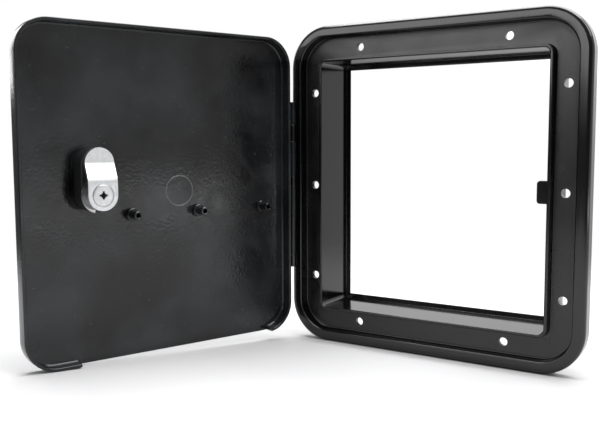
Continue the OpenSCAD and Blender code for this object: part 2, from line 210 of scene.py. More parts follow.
def lathe(bm, outline, centre=(0, 0), steps=64, angle=2 * math.pi):
    # outline is (radius, height); it is closed along the axis
    verts = [bm.verts.new((r, 0, z)) for r, z in outline]
    edges = [bm.edges.new(pair) for pair in zip(verts, verts[1:])]
    bmesh.ops.spin(bm, geom=verts + edges, cent=(0, 0, 0), axis=(0, 0, 1), angle=angle,
                   steps=steps, use_merge=True, use_duplicate=False)
    bmesh.ops.remove_doubles(bm, verts=bm.verts, dist=0.0005)
    bmesh.ops.translate(bm, verts=bm.verts, vec=(*centre, 0))


def oblong(bm, circles, low, high, segments=72):
    # the skin round some circles (x, y, radius), from one height to another
    for x, y, radius in circles:
        for z in (low, high):
            bmesh.ops.create_circle(bm, segments=segments, radius=radius,
                                    matrix=Matrix.Translation((x, y, z)))
    hull = bmesh.ops.convex_hull(bm, input=bm.verts)
    spare = {g for key in ("geom_interior", "geom_unused") for g in hull[key]}
    loose = [g for g in spare if isinstance(g, bmesh.types.BMVert)]
    bmesh.ops.delete(bm, geom=loose, context="VERTS")
    bmesh.ops.dissolve_limit(bm, angle_limit=0.01, verts=bm.verts, edges=bm.edges)


# what every material starts with

def startMaterial(name):
    material = bpy.data.materials.new(name)
    material.use_nodes = True
    tree = material.node_tree
    place = addNode(tree, "TexCoord").outputs["Object"]
    return material, tree, tree.nodes["Principled BSDF"], place


# frame

frameSize = {
    "cornerRadius": 29.25,
    "rimWidth": 8.05,
    "rimOut": 8.0,
    "rimRound": 3.0,
    "flange": 3.0,
    "lipRadius": 3.9,
    "lipWall": 2.2,
    "lipOut": 7.5,
    "rearLip": 3.7,
    "rearLipThick": 1.6,
    "rearBevel": 1.2,
    "coreWalls": (2.5, 2.3),
    "coreRoof": 3.2,
    "screwRadius": 2.8,
    "screwInset": 15.75,
    "screwPitch": (106, 134),
    "markRadius": 3.5,    # of the ejector pins
    "markDepth": 0.15,
    "markInset": (4, 5),
    "markUp": 35,
    "keeper": {"reach": 8.4, "height": 14.4, "out": (-5.2, -1.2), "round": 2},
    "notchOut": 5.7,
    "notchSlack": 0.4,
}
frameLow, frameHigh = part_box("frame")
halfWidth, halfHeight = frameHigh.x / mm, frameHigh.z / mm
coamingDepth = frameHigh.y / mm
corner = Vector((halfWidth - frameSize["cornerRadius"], halfHeight - frameSize["cornerRadius"]))
recessRadius = frameSize["cornerRadius"] - frameSize["rimWidth"]

frameLook = {
    "dark": "#040404",
    "light": "#070707",
    "patchMm": 60,
    "cloudMm": 25,
    "grainMm": 0.9,       # spark grain is nearer 0.1 mm; drawn coarser so that it shows
    "grainDepthMm": 0.035,
    "flangeRoughness": (0.22, 0.28),
    "wallRoughness": (0.12, 0.17),
    "flangeFront": 2,     # the grain is on the flange only, up to this height
    "ior": 1.53,
}


def mouldedFrameAbs(look):
    # injection-moulded black ABS: spark-grained flange, polished rim and coaming
    material, tree, shader, place = startMaterial("moulded_frame_abs")
    links = {"Vector": place, "Scale": 1 / (look["patchMm"] * mm), "Detail": 3}
    patches = addNode(tree, "TexNoise", links).outputs[0]
    patches = addNode(tree, "MapRange", {0: patches, 1: 0.35, 2: 0.65}).outputs[0]
    links = {0: patches, 6: hexColour(look["dark"]), 7: hexColour(look["light"])}
    colour = addNode(tree, "Mix", links, data_type="RGBA").outputs[2]
    tree.links.new(colour, shader.inputs["Base Color"])

    axes = addNode(tree, "SeparateXYZ", {0: place}).outputs
    across = addNode(tree, "Math", {0: axes["X"]}, operation="ABSOLUTE").outputs[0]
    up = addNode(tree, "Math", {0: axes["Z"]}, operation="ABSOLUTE").outputs[0]
    wall = frameSize["lipRadius"] + frameSize["lipWall"] / 2
    links = {0: across, 1: (corner.x + wall) * mm}
    across = addNode(tree, "Math", links, operation="LESS_THAN").outputs[0]
    links = {0: up, 1: (corner.y + wall) * mm}
    up = addNode(tree, "Math", links, operation="LESS_THAN").outputs[0]
    inside = addNode(tree, "Math", {0: across, 1: up}, operation="MULTIPLY").outputs[0]
    links = {0: axes["Y"], 1: -look["flangeFront"] * mm}
    raised = addNode(tree, "Math", links, operation="LESS_THAN").outputs[0]
    polished = addNode(tree, "Math", {0: inside, 1: raised}, operation="MAXIMUM").outputs[0]
    links = {"Vector": place, "Scale": 1 / (look["cloudMm"] * mm), "Detail": 3}
    clouds = addNode(tree, "TexNoise", links).outputs[0]
    low, high = look["flangeRoughness"]
    flange = addNode(tree, "MapRange", {0: clouds, 1: 0.35, 2: 0.65, 3: low, 4: high}).outputs[0]
    low, high = look["wallRoughness"]
    walls = addNode(tree, "MapRange", {0: clouds, 1: 0.35, 2: 0.65, 3: low, 4: high}).outputs[0]
    rough = addNode(tree, "Mix", {0: polished, 2: flange, 3: walls}).outputs[0]
    tree.links.new(rough, shader.inputs["Roughness"])

    links = {"Vector": place, "Scale": 1 / (look["grainMm"] * mm), "Detail": 2}
    grain = addNode(tree, "TexNoise", links).outputs[0]
    grain = addNode(tree, "Mix", {0: polished, 2: grain, 3: 0.5}).outputs[0]
    links = {"Height": grain, "Strength": 1, "Distance": look["grainDepthMm"] * mm}
    tree.links.new(addNode(tree, "Bump", links).outputs[0], shader.inputs["Normal"])
    shader.inputs["IOR"].default_value = look["ior"]
    return material


def frameCorners(size):
    lipIn, lipOut = size["lipRadius"], size["lipRadius"] + size["lipWall"]
    outer, back, end = size["cornerRadius"], -size["flange"], -coamingDepth
    coreIn, coreOut = recessRadius + size["coreWalls"][0], outer - size["coreWalls"][1]
    rearIn, rearFront = lipIn - size["rearLip"], end + size["rearLipThick"]
    return [
        (lipIn, size["lipOut"], 0.8), (lipOut, size["lipOut"], 0.8), (lipOut, 0, 0.7),
        (recessRadius, 0, 0.7), (recessRadius, size["rimOut"], 1.0),
        (outer, size["rimOut"], size["rimRound"]), (outer, back, 0.4), (coreOut, back, 0),
        (coreOut, size["coreRoof"], 0.4), (coreIn, size["coreRoof"], 0.4), (coreIn, back, 0),
        (lipOut, back, 0), (lipOut, end, 0.4), (rearIn + size["rearBevel"], end, 0),
        (rearIn, end + size["rearBevel"], 0), (rearIn, rearFront, 0), (lipIn, rearFront, 0.4),
    ]


def frameHoles(bm, size):
    side = halfWidth - size["screwInset"]
    end = halfHeight - size["screwInset"]
    pitchX, pitchY = size["screwPitch"]
    spots = [(x * side, y * pitchY / 2) for x in (-1, 1) for y in (-1, 0, 1)]
    spots += [(x * pitchX / 2, y * end) for x in (-1, 1) for y in (-1, 1)]
    for x, y in spots:
        rod(bm, size["screwRadius"], (x, y, -size["flange"] - 1), (x, y, 1), 40)


def frameMarks(bm, size):
    # ejector pins leave shallow round marks in the flange
    side = halfWidth - size["screwInset"]
    end = halfHeight - size["screwInset"]
    insetX, insetY = size["markInset"]
    spots = [(0, y * end) for y in (-1, 1)]
    spots += [(x * (side - insetX), y * (end - insetY)) for x in (-1, 1) for y in (-1, 1)]
    spots += [(x * side, y * size["markUp"]) for x in (-1, 1) for y in (-1, 1)]
    for x, y in spots:
        rod(bm, size["markRadius"], (x, y, -size["markDepth"]), (x, y, 0.4), 40)


def hingeNotch(bm, size):
    # takes the outer half of the rim away where the knuckles are
    top, bottom = hinge["ends"][0] + size["notchSlack"], hinge["ends"][-1] - size["notchSlack"]
    edge = hinge["at"].x + hinge["knuckle"] + hinge["gap"]
    block(bm, (-halfWidth - 1, bottom, size["notchOut"]), (edge, top, size["rimOut"] + 1))


def knuckleSpan(index):
    ends = hinge["ends"]
    top = ends[index] - (hinge["gap"] / 2 if index else 0)
    last = index + 1 == len(ends) - 1
    return top, ends[index + 1] + (0 if last else hinge["gap"] / 2)


def knuckle(bm, index):
    top, bottom = knuckleSpan(index)
    x, z = hinge["at"]
    rod(bm, hinge["knuckle"], (x, bottom, z), (x, top, z), 48)


def frameWeb(bm, index, size):
    top, bottom = knuckleSpan(index)
    x = hinge["at"].x
    edge = x + hinge["knuckle"] + hinge["gap"]
    block(bm, (x - 0.5, bottom + 0.02, size["notchOut"] - 1),
          (edge + 0.01, top - 0.02, size["rimOut"] - 0.01))


def hingeBore(bm):
    x, z = hinge["at"]
    top, bottom = hinge["ends"][0] + 1, hinge["ends"][-1] - 1
    rod(bm, hinge["bore"], (x, bottom, z), (x, top, z), 40)


def keeper(bm, size):
    # lug that the cam turns behind, rounded at its two ends
    wall = corner.x + frameSize["lipRadius"]
    low, high = size["out"]
    half = size["height"] / 2
    block(bm, (wall - size["reach"], -half, low), (wall + 1, half, high))
    upEdges = [e for e in bm.edges if abs(e.verts[0].co.z - e.verts[1].co.z) > 1
               and e.verts[0].co.x < wall - 1]
    bmesh.ops.bevel(bm, geom=upEdges, offset=size["round"], affect="EDGES", segments=6,
                    profile=0.5, material=-1)


print("frame")
frameAbs = mouldedFrameAbs(frameLook)
frameBody = solid(sweep, frameCorners(frameSize))
cut(frameBody, hingeNotch, frameSize)
cut(frameBody, frameHoles, frameSize)
cut(frameBody, frameMarks, frameSize)
add(frameBody, keeper, frameSize["keeper"])
for index in (1, 3, 5):
    add(frameBody, frameWeb, index, frameSize)
    add(frameBody, knuckle, index)
cut(frameBody, hingeBore)
finish(frameBody, "frame_moulding", upright, "frame", frameAbs, ["frame"])


# door

doorSize = {
    "radius": recessRadius - 0.8,
    "wall": 2.0,
    "wallEnd": 0.5,
    "fillet": 1.2,
    "inside": 8.3,
    "outside": 10.8,
    "edgeRound": 1.6,
    "wallCut": (17.5, 159.5),
    # across from the door's hinge edge, like all the places below
    "bosses": (21.6, 73.2, 121.2),
    "bossUp": -13.8,
    "bossRadius": 2.7,
    "bossBore": 1.6,
    "bossFoot": 4.1,
    "bossEnds": (7.3, 5.2, -2.2),         # floor of its bore, top of its foot, tip
    "ring": (86.6, 10.2),
    "ringWidth": 0.6,
    "ringHeight": 0.3,
    "lockCollar": 12.4,
    "collarHeight": 1.4,
    "lockHole": 10.5,
    "lockRise": 18,
    # ejector pins: across, up, radius
    "marks": ((88, 85, 5), (84.5, -40, 4.2), (186, 84, 4.2),
              (186, -88, 3.5), (10, -84, 3.5), (10, 84, 3.5)),
    "markDepth": 0.15,
}
doorEdge = -corner.x - doorSize["radius"]

doorLook = {
    "dark": "#040405",
    "light": "#1e2022",
    "dust": "#4a4c4e",
    "rubbed": "#505153",
    "patchMm": 45,
    "speckMm": 2.2,
    "smearMm": 28,
    "leatherMm": 1.7,     # the real leather grain is about 0.6 mm; drawn coarser so that it shows
    "leatherDepthMm": 0.045,
    "poreMm": 0.7,
    "roughness": (0.12, 0.22),
    "ior": 1.43,
}


def grainedDoorAbs(look):
    # moulded black ABS with a leather grain inside, handled and a little dusty
    material, tree, shader, place = startMaterial("grained_door_abs")
    links = {"Vector": place, "Scale": 1 / (look["patchMm"] * mm), "Detail": 4}
    patches = addNode(tree, "TexNoise", links).outputs[0]
    patches = addNode(tree, "MapRange", {0: patches, 1: 0.35, 2: 0.65}).outputs[0]
    links = {0: patches, 6: hexColour(look["dark"]), 7: hexColour(look["light"])}
    colour = addNode(tree, "Mix", links, data_type="RGBA").outputs[2]
    links = {"Vector": place, "Scale": 1 / (look["speckMm"] * mm), "Detail": 1}
    specks = addNode(tree, "TexNoise", links).outputs[0]
    specks = addNode(tree, "MapRange", {0: specks, 1: 0.72, 2: 0.8, 4: 0.35}).outputs[0]
    links = {0: specks, 6: colour, 7: hexColour(look["dust"])}
    colour = addNode(tree, "Mix", links, data_type="RGBA").outputs[2]
    # the ring's top is rubbed grey; the mask is a band of distances, on the inner side only
    x, radius = doorSize["ring"]
    ringWidth = doorSize["ringWidth"]
    ringCentre = doorPlace @ Vector((doorEdge + x, 0, doorSize["inside"]))
    middle = doorPlace @ Vector((doorEdge + x, 0, doorSize["inside"] + 1))
    inwards = (ringCentre - middle).normalized()
    links = {0: place, 1: ringCentre}
    away = addNode(tree, "VectorMath", links, operation="DISTANCE").outputs["Value"]
    links = {0: away, 1: (radius - ringWidth / 2) * mm, 2: ringWidth * 0.75 * mm}
    band = addNode(tree, "Math", links, operation="COMPARE").outputs[0]
    links = {0: place, 1: inwards}
    depth = addNode(tree, "VectorMath", links, operation="DOT_PRODUCT").outputs["Value"]
    links = {0: depth, 1: middle.dot(inwards)}
    side = addNode(tree, "Math", links, operation="GREATER_THAN").outputs[0]
    band = addNode(tree, "Math", {0: band, 1: side}, operation="MULTIPLY").outputs[0]
    links = {0: band, 6: colour, 7: hexColour(look["rubbed"])}
    colour = addNode(tree, "Mix", links, data_type="RGBA").outputs[2]
    tree.links.new(colour, shader.inputs["Base Color"])

    links = {"Vector": place, "Scale": 1 / (look["smearMm"] * mm), "Detail": 5}
    links["Distortion"] = 1.2
    smears = addNode(tree, "TexNoise", links).outputs[0]
    low, high = look["roughness"]
    smears = addNode(tree, "MapRange", {0: smears, 1: 0.35, 2: 0.65, 3: low, 4: high}).outputs[0]
    tree.links.new(smears, shader.inputs["Roughness"])

    links = {"Vector": place, "Scale": 1 / (look["leatherMm"] * mm)}
    cells = addNode(tree, "TexVoronoi", links, feature="SMOOTH_F1").outputs[0]
    links = {"Height": cells, "Strength": 1, "Distance": look["leatherDepthMm"] * mm}
    leather = addNode(tree, "Bump", links).outputs[0]
    links = {"Vector": place, "Scale": 1 / (look["poreMm"] * mm), "Detail": 2}
    pores = addNode(tree, "TexNoise", links).outputs[0]
    links = {"Height": pores, "Strength": 1, "Distance": look["leatherDepthMm"] * mm / 3}
    links["Normal"] = leather
    tree.links.new(addNode(tree, "Bump", links).outputs[0], shader.inputs["Normal"])
    shader.inputs["IOR"].default_value = look["ior"]
    return material


def doorCorners(size):
    outer, inner = size["radius"], size["radius"] - size["wall"]
    return [
        (0, size["inside"], 0), (inner, size["inside"], size["fillet"]),
        (inner, size["wallEnd"], 0.5), (outer, size["wallEnd"], 0.5),
        (outer, size["outside"], size["edgeRound"]), (0, size["outside"], 0),
    ]


def wallCut(bm, size):
    # the wall is missing along most of the bottom
    start, end = (doorEdge + x for x in size["wallCut"])
    edge = -corner.y - size["radius"]
    block(bm, (start, edge - 1, -2),
          (end, edge + size["wall"] + size["fillet"], size["inside"] - 0.002))


def boss(bm, x, size):
    # a hollow screw boss with a thicker foot
    radius, bore, foot = size["bossRadius"], size["bossBore"], size["bossFoot"]
    floor, footTop, tip = size["bossEnds"]
    root = size["inside"] + 0.5
    outline = [(0, root), (foot, root), (foot, footTop + 0.4), (foot - 0.3, footTop + 0.1),
               (radius, footTop), (radius, tip + 0.35), (radius - 0.35, tip), (bore + 0.2, tip),
               (bore, tip + 0.2), (bore, floor), (0, floor)]
    lathe(bm, outline, (doorEdge + x, size["bossUp"]), 40)


def badgeRing(bm, size):
    # plain raised ring, where a maker would put a mark
    x, outer = size["ring"]
    inner = outer - size["ringWidth"]
    low, high = size["inside"] - size["ringHeight"], size["inside"] + 0.5
    lathe(bm, [(outer, high), (outer, low + 0.1), (outer - 0.1, low), (inner + 0.1, low),
               (inner, low + 0.1), (inner, high), (outer, high)], (doorEdge + x, 0), 96)


def doorMarks(bm, size):
    low, high = size["inside"] - 1, size["inside"] + size["markDepth"]
    for x, y, radius in size["marks"]:
        rod(bm, radius, (doorEdge + x, y, low), (doorEdge + x, y, high), 48)


def doorArm(bm, size):
    start = hinge["at"].x + hinge["knuckle"] + hinge["armGap"]
    block(bm, (start, hinge["ends"][-1], size["inside"] + 0.01),
          (doorEdge + size["wall"], hinge["ends"][0], size["outside"] - 0.01))


def doorLink(bm, index, size):
    top, bottom = knuckleSpan(index)
    start = hinge["at"].x
    block(bm, (start, bottom + 0.02, size["inside"] + 0.01),
          (start + hinge["knuckle"] + 0.5, top - 0.02, size["outside"] - 0.01))


def lockCollar(bm, size):
    x, y = lockAt
    radius, low = size["lockCollar"], size["inside"] - size["collarHeight"]
    circles = [(x, y, radius), (x, y + size["lockRise"], radius)]
    oblong(bm, circles, low, size["inside"] + 0.5)


def lockHole(bm, size):
    x, y = lockAt
    radius, low = size["lockHole"], size["inside"] - 3
    circles = [(x, y, radius), (x, y + size["lockRise"], radius)]
    oblong(bm, circles, low, size["outside"] + 1)


print("door")
doorAbs = grainedDoorAbs(doorLook)
door = solid(sweep, doorCorners(doorSize), True)
cut(door, wallCut, doorSize)
add(door, lockCollar, doorSize)
cut(door, lockHole, doorSize)
cut(door, doorMarks, doorSize)
add(door, doorArm, doorSize)
for index in (0, 2, 4):
    add(door, doorLink, index, doorSize)
    add(door, knuckle, index)
cut(door, hingeBore)
for x in doorSize["bosses"]:
    add(door, boss, x, doorSize)
add(door, badgeRing, doorSize)
finish(door, "door_moulding", doorPlace, "door", doorAbs, ["door"])


# lock

lockSize = {
    "rise": doorSize["lockRise"],
    "housing": 10.4,
    "housingEnd": -5.1,
    "core": (3.4, 7.2),
    "coreEnd": -4,
    "bezel": 13.2,
    "bezelFront": 12.9,
    "bezelThick": 1.5,
    "shell": 9.1,
    "clip": {"radius": (8.3, 11.2), "out": (-6.05, -5.35), "opening": 70, "turn": -75, "bow": 130},
    "cover": 12.9,
    "coverGap": 0.3,
    "coverThick": 1.5,
    "coverRound": 0.7,
    "rivetHead": 3.6,
    "rivetDome": 1,
    "rivetShank": 1.6,
    "rivetLength": 12,
}

camSize = {
    "front": -10.0,
    "thick": 2.5,
    "joggle": 4.5,
    "bend": (9.4, 19.2),
    "bendRound": 1.2,
    "width": 18.6,
    "tip": 9.2,
    "reach": 28.5,
    "tail": 7.8,
    "head": 6.6,
    "headThick": 1.1,
    "headSunk": 0.8,
    "headSeat": 6.75,
    "shank": 2.0,
    "shankLength": 8.2,
    # slots of the recess: half length, width, depth
    "cross": (3.0, 1.4, 1.2),
    "star": (2.2, 0.9, 1.0),
}

nylonLook = {
    "dark": "#131314",
    "light": "#1c1c1d",
    "patchMm": 8,
    "glassMm": 3,     # fibres are hundredths of a mm wide; their clouds are drawn instead
    "pitMm": 0.5,
    "pitDepthMm": 0.012,
    "roughness": (0.38, 0.5),
    "ior": 1.52,
}

rubberLook = {
    "dark": "#0c0c0c",
    "light": "#202020",
    "bloomMm": 5,
    "skinMm": 0.4,
    "skinDepthMm": 0.02,
    "roughness": 0.8,
}


def lockNylon(look):
    # black glass-filled nylon, moulded: a little drier and rougher than the ABS round it
    material, tree, shader, place = startMaterial("moulded_lock_nylon")
    links = {"Vector": place, "Scale": 1 / (look["patchMm"] * mm), "Detail": 3}
    patches = addNode(tree, "TexNoise", links).outputs[0]
    links = {0: patches, 6: hexColour(look["dark"]), 7: hexColour(look["light"])}
    colour = addNode(tree, "Mix", links, data_type="RGBA").outputs[2]
    tree.links.new(colour, shader.inputs["Base Color"])
    links = {"Vector": place, "Scale": 1 / (look["glassMm"] * mm), "Detail": 3}
    glass = addNode(tree, "TexNoise", links).outputs[0]
    low, high = look["roughness"]
    glass = addNode(tree, "MapRange", {0: glass, 1: 0.35, 2: 0.65, 3: low, 4: high}).outputs[0]
    tree.links.new(glass, shader.inputs["Roughness"])
    links = {"Vector": place, "Scale": 1 / (look["pitMm"] * mm), "Detail": 2}
    pits = addNode(tree, "TexNoise", links).outputs[0]
    links = {"Height": pits, "Strength": 1, "Distance": look["pitDepthMm"] * mm}
    tree.links.new(addNode(tree, "Bump", links).outputs[0], shader.inputs["Normal"])
    shader.inputs["IOR"].default_value = look["ior"]
    return material


def gasketRubber(look):
    # moulded black EPDM, dull with a faint bloom
    material, tree, shader, place = startMaterial("gasket_rubber")
    links = {"Vector": place, "Scale": 1 / (look["bloomMm"] * mm), "Detail": 4}
    bloom = addNode(tree, "TexNoise", links).outputs[0]
    links = {0: bloom, 6: hexColour(look["dark"]), 7: hexColour(look["light"])}
    colour = addNode(tree, "Mix", links, data_type="RGBA").outputs[2]
    tree.links.new(colour, shader.inputs["Base Color"])
    shader.inputs["Roughness"].default_value = look["roughness"]
    links = {"Vector": place, "Scale": 1 / (look["skinMm"] * mm), "Detail": 2}
    skin = addNode(tree, "TexNoise", links).outputs[0]
    links = {"Height": skin, "Strength": 1, "Distance": look["skinDepthMm"] * mm}
    tree.links.new(addNode(tree, "Bump", links).outputs[0], shader.inputs["Normal"])
    return material


def metal(name, look):
    # drawn or turned stock has fine lines along it; plate and castings have an even grain
    material, tree, shader, place = startMaterial(name)
    shader.inputs["Metallic"].default_value = 1
    links = {"Vector": place, "Scale": 1 / (look["patchMm"] * mm), "Detail": 4}
    patches = addNode(tree, "TexNoise", links).outputs[0]
    spread = addNode(tree, "MapRange", {0: patches, 1: 0.35, 2: 0.65}).outputs[0]
    links = {0: spread, 6: hexColour(look["colours"][0]), 7: hexColour(look["colours"][1])}
    colour = addNode(tree, "Mix", links, data_type="RGBA").outputs[2]
    if "recess" in look:
        # painted shade: below the head's top the driver's recess is painted darker over its first
        # 0.8 mm, standing in for the shade that falls in it
        top, inwards = look["recess"]
        links = {0: place, 1: inwards}
        depth = addNode(tree, "VectorMath", links, operation="DOT_PRODUCT").outputs["Value"]
        links = {0: depth, 1: top - 0.8 * mm, 2: top - 0.3 * mm}
        depth = addNode(tree, "MapRange", links).outputs[0]
        links = {0: depth, 6: hexColour(look["recessShadeColour"]), 7: colour}
        colour = addNode(tree, "Mix", links, data_type="RGBA").outputs[2]
    tree.links.new(colour, shader.inputs["Base Color"])
    low, high = look["roughness"]
    spread = addNode(tree, "MapRange", {0: patches, 1: 0.65, 2: 0.35, 3: low, 4: high}).outputs[0]
    tree.links.new(spread, shader.inputs["Roughness"])
    stretch = addNode(tree, "Mapping", {0: place, 3: (1, 1, look.get("lines", 1))}).outputs[0]
    links = {"Vector": stretch, "Scale": 1 / (look["grainMm"] * mm), "Detail": 2}
    grain = addNode(tree, "TexNoise", links).outputs[0]
    links = {"Height": grain, "Strength": 1, "Distance": 0.004 * mm}
    tree.links.new(addNode(tree, "Bump", links).outputs[0], shader.inputs["Normal"])
    return material


# the screw head's top, as a height along the lock's axis
lockInwards = (lockPlace.to_3x3() @ Vector((0, 0, -1))).normalized()
screwTop = camSize["front"] - camSize["thick"] + camSize["headSunk"] - camSize["headThick"]
screwTop = (lockPlace @ Vector((0, 0, screwTop))).dot(lockInwards)

metalLooks = {
    # pressed, then barrel plated: bright, with a faint cloudy bloom
    "bright_zinc_plated_steel": {"colours": ("#c3c4c6", "#cfd0d1"), "roughness": (0.3, 0.38),
                                 "patchMm": 2, "grainMm": 0.6},
    # the same plate on the screw, with painted shade darkening its recess
    "zinc_plated_screw": {"colours": ("#c3c4c6", "#cfd0d1"), "roughness": (0.3, 0.38),
                          "patchMm": 2, "grainMm": 0.6,
                          "recess": (screwTop, lockInwards), "recessShadeColour": "#17191a"},
    # as it left the die: dull grey
    "die_cast_zinc": {"colours": ("#8f9092", "#a5a6a7"), "roughness": (0.4, 0.55),
                      "patchMm": 3, "grainMm": 0.6},
    # cold drawn: a smooth grey sheen
    "drawn_spring_steel": {"colours": ("#9a9b9c", "#b4b5b6"), "roughness": (0.2, 0.32),
                           "patchMm": 4, "grainMm": 0.3, "lines": 0.12},
    # drawn and polished: bright along its length
    "drawn_stainless": {"colours": ("#a8a9aa", "#bcbdbd"), "roughness": (0.18, 0.28),
                        "patchMm": 4, "grainMm": 0.3, "lines": 0.12},
    # turned: warm yellow with tool lines
    "machined_brass": {"colours": ("#b08d4a", "#c6a55e"), "roughness": (0.22, 0.34),
                       "patchMm": 4, "grainMm": 0.25, "lines": 0.12},
}


def housingBody(bm, size):
    circles = [(0, 0, size["housing"]), (0, size["rise"], size["housing"])]
    oblong(bm, circles, size["housingEnd"], size["bezelFront"] - 0.2)


def housingBezel(bm, size):
    circles = [(0, 0, size["bezel"]), (0, size["rise"], size["bezel"])]
    oblong(bm, circles, size["bezelFront"] - size["bezelThick"], size["bezelFront"])


def housingBore(bm, size):
    rod(bm, size["shell"], (0, 0, size["housingEnd"] - 1), (0, 0, size["bezelFront"] + 1))


def pivotCore(bm, size):
    # hollow round the boss that the cover's rivet goes into
    inner, outer = size["core"]
    low, high = size["coreEnd"], size["bezelFront"] + 1
    outline = [(inner, low), (outer, low), (outer, high), (inner, high), (inner, low)]
    lathe(bm, outline, (0, size["rise"]))


def clip(bm, size):
    # horseshoe of spring strip, bowed across its width
    inner, outer = size["radius"]
    low, high = size["out"]
    start = math.radians(size["turn"])
    verts = [bm.verts.new((r * math.cos(start), r * math.sin(start), z))
             for r, z in ((inner, low), (outer, low), (outer, high), (inner, high))]
    face = bm.faces.new(verts)
    bmesh.ops.spin(bm, geom=[face], cent=(0, 0, 0), axis=(0, 0, 1),
                   angle=math.radians(360 - size["opening"]), steps=48, use_duplicate=False)
    for vert in bm.verts:
        vert.co.z -= vert.co.x ** 2 / (2 * size["bow"]) - 0.1


def camBody(bm, size):
    tipY = size["reach"] - size["tip"]
    oblong(bm, [(0, 0, size["width"] / 2), (0, tipY, size["tip"])], -20, 0, 96)


def camSlab(bm, size):
    # side view of the cranked plate, extruded across it
    front, back = size["front"], size["front"] - size["thick"]
    bendFrom, bendTo = size["bend"]
    rise, far, wide = size["joggle"], size["reach"] + 10, size["width"]
    slope = math.atan(rise / (bendTo - bendFrom))
    shift = size["thick"] * math.tan(slope / 2)
    inside = size["bendRound"]
    outside = inside + 1
    section(bm, [
        (-wide, back, 0), (bendFrom, back, outside), (bendTo, back + rise, inside),
        (far, back + rise, 0), (far, front + rise, 0), (bendTo - shift, front + rise, outside),
        (bendFrom - shift, front, inside), (-wide, front, 0),
    ], 5)
    outline = bmesh.ops.contextual_create(bm, geom=bm.edges[:])["faces"]
    grown = bmesh.ops.extrude_face_region(bm, geom=outline)["geom"]
    grown = [g for g in grown if isinstance(g, bmesh.types.BMVert)]
    bmesh.ops.translate(bm, vec=(0, 2 * wide, 0), verts=grown)
    bmesh.ops.translate(bm, vec=(0, -wide, 0), verts=bm.verts)
    turned = Matrix.Rotation(math.radians(90), 3, "Z")
    bmesh.ops.rotate(bm, cent=(0, 0, 0), matrix=turned, verts=bm.verts)


def camBore(bm, size):
    back = size["front"] - size["thick"]
    rod(bm, size["headSeat"], (0, 0, back - 1), (0, 0, back + size["headSunk"]), 72)


def tailHole(bm, size):
    half = size["tail"] / 2
    block(bm, (-half, -half, size["front"] - size["thick"] - 1), (half, half, size["front"] + 1))


def screwBody(bm, size):
    # flat head, a touch domed, with a plain shank
    seat = size["front"] - size["thick"] + size["headSunk"]
    top, wide = seat - size["headThick"], size["head"]
    shank, end = size["shank"], seat + size["shankLength"]
    lathe(bm, [(0, top), (0.4 * wide, top + 0.02), (0.75 * wide, top + 0.04),
               (wide - 0.35, top + 0.08), (wide - 0.1, top + 0.2), (wide, top + 0.4), (wide, seat),
               (shank, seat), (shank, end - 0.4), (shank - 0.4, end), (0, end)], steps=96)


def screwDrive(bm, size, turn, slot):
    # one slot of the cross recess, narrower towards its bottom
    length, width, depth = slot
    top = size["front"] - size["thick"] + size["headSunk"] - size["headThick"]
    block(bm, (-length, -width / 2, top - 1), (length, width / 2, top + depth))
    for vert in bm.verts:
        if vert.co.z > top:
            vert.co.x *= 0.7
            vert.co.y *= 0.8
    turned = Matrix.Rotation(math.radians(turn), 3, "Z")
    bmesh.ops.rotate(bm, cent=(0, 0, 0), matrix=turned, verts=bm.verts)


def coverPlate(bm, size):
    low = size["bezelFront"] + size["coverGap"]
    high = low + size["coverThick"]
    oblong(bm, [(0, 0, size["cover"]), (0, size["rise"], size["cover"])], low, high)
    rim = [e for e in bm.edges if all(abs(v.co.z - high) < 1e-4 for v in e.verts)]
    bmesh.ops.bevel(bm, geom=rim, offset=size["coverRound"], affect="EDGES", segments=4,
                    profile=0.5, material=-1)


def coverHole(bm, size):
    low, high = size["bezelFront"] - 3, size["bezelFront"] + 7
    rod(bm, size["rivetShank"] + 0.05, (0, size["rise"], low), (0, size["rise"], high), 32)


def rivet(bm, size):
    # shallow dome over the cover, with a plain shank
    seat = size["bezelFront"] + size["coverGap"] + size["coverThick"] + 0.1
    end = size["bezelFront"] - size["rivetLength"]
    head, dome, shank = size["rivetHead"], size["rivetDome"], size["rivetShank"]
    lathe(bm, [(0, seat + dome), (head / 3, seat + 0.95 * dome), (head / 1.5, seat + 0.75 * dome),
               (head - 0.4, seat + 0.4 * dome), (head, seat + 0.1 * dome), (head, seat),
               (shank, seat), (shank, end), (0, end)], (0, size["rise"]), 48)


print("lock")
nylon = lockNylon(nylonLook)
rubber = gasketRubber(rubberLook)
metals = {name: metal(name, look) for name, look in metalLooks.items()}
zincPlate = metals["bright_zinc_plated_steel"]
springSteel = metals["drawn_spring_steel"]
stainless = metals["drawn_stainless"]
brass = metals["machined_brass"]

housing = solid(housingBody, lockSize)
add(housing, housingBezel, lockSize)
cut(housing, housingBore, lockSize)
cut(housing, pivotCore, lockSize)
finish(housing, "lock_housing_moulding", lockPlace, "door", nylon,
       ["lock_housing"], edge=0.4)

clipPiece = solid(clip, lockSize["clip"])
finish(clipPiece, "horseshoe_clip", lockPlace, "door", springSteel,
       ["retaining_clip"], edge=0.12)

camPiece = solid(camBody, camSize)
combine(camPiece, solid(camSlab, camSize), "INTERSECT")
cut(camPiece, camBore, camSize)
cut(camPiece, tailHole, camSize)
finish(camPiece, "cranked_cam", lockPlace, "lock_plug", zincPlate, ["cam"],
       edge=0.4)

screw = solid(screwBody, camSize)
for turn in (0, 90):
    cut(screw, screwDrive, camSize, turn, camSize["cross"])
    cut(screw, screwDrive, camSize, turn + 45, camSize["star"])
finish(screw, "cam_screw_head", lockPlace, "lock_plug", metals["zinc_plated_screw"],
       ["cam_screw"], edge=0.08)

cover = solid(coverPlate, lockSize)
cut(cover, coverHole, lockSize)
finish(cover, "swivel_cover", lockPlace, "dust_cover", nylon, ["dust_cover"],
       edge=0.15)

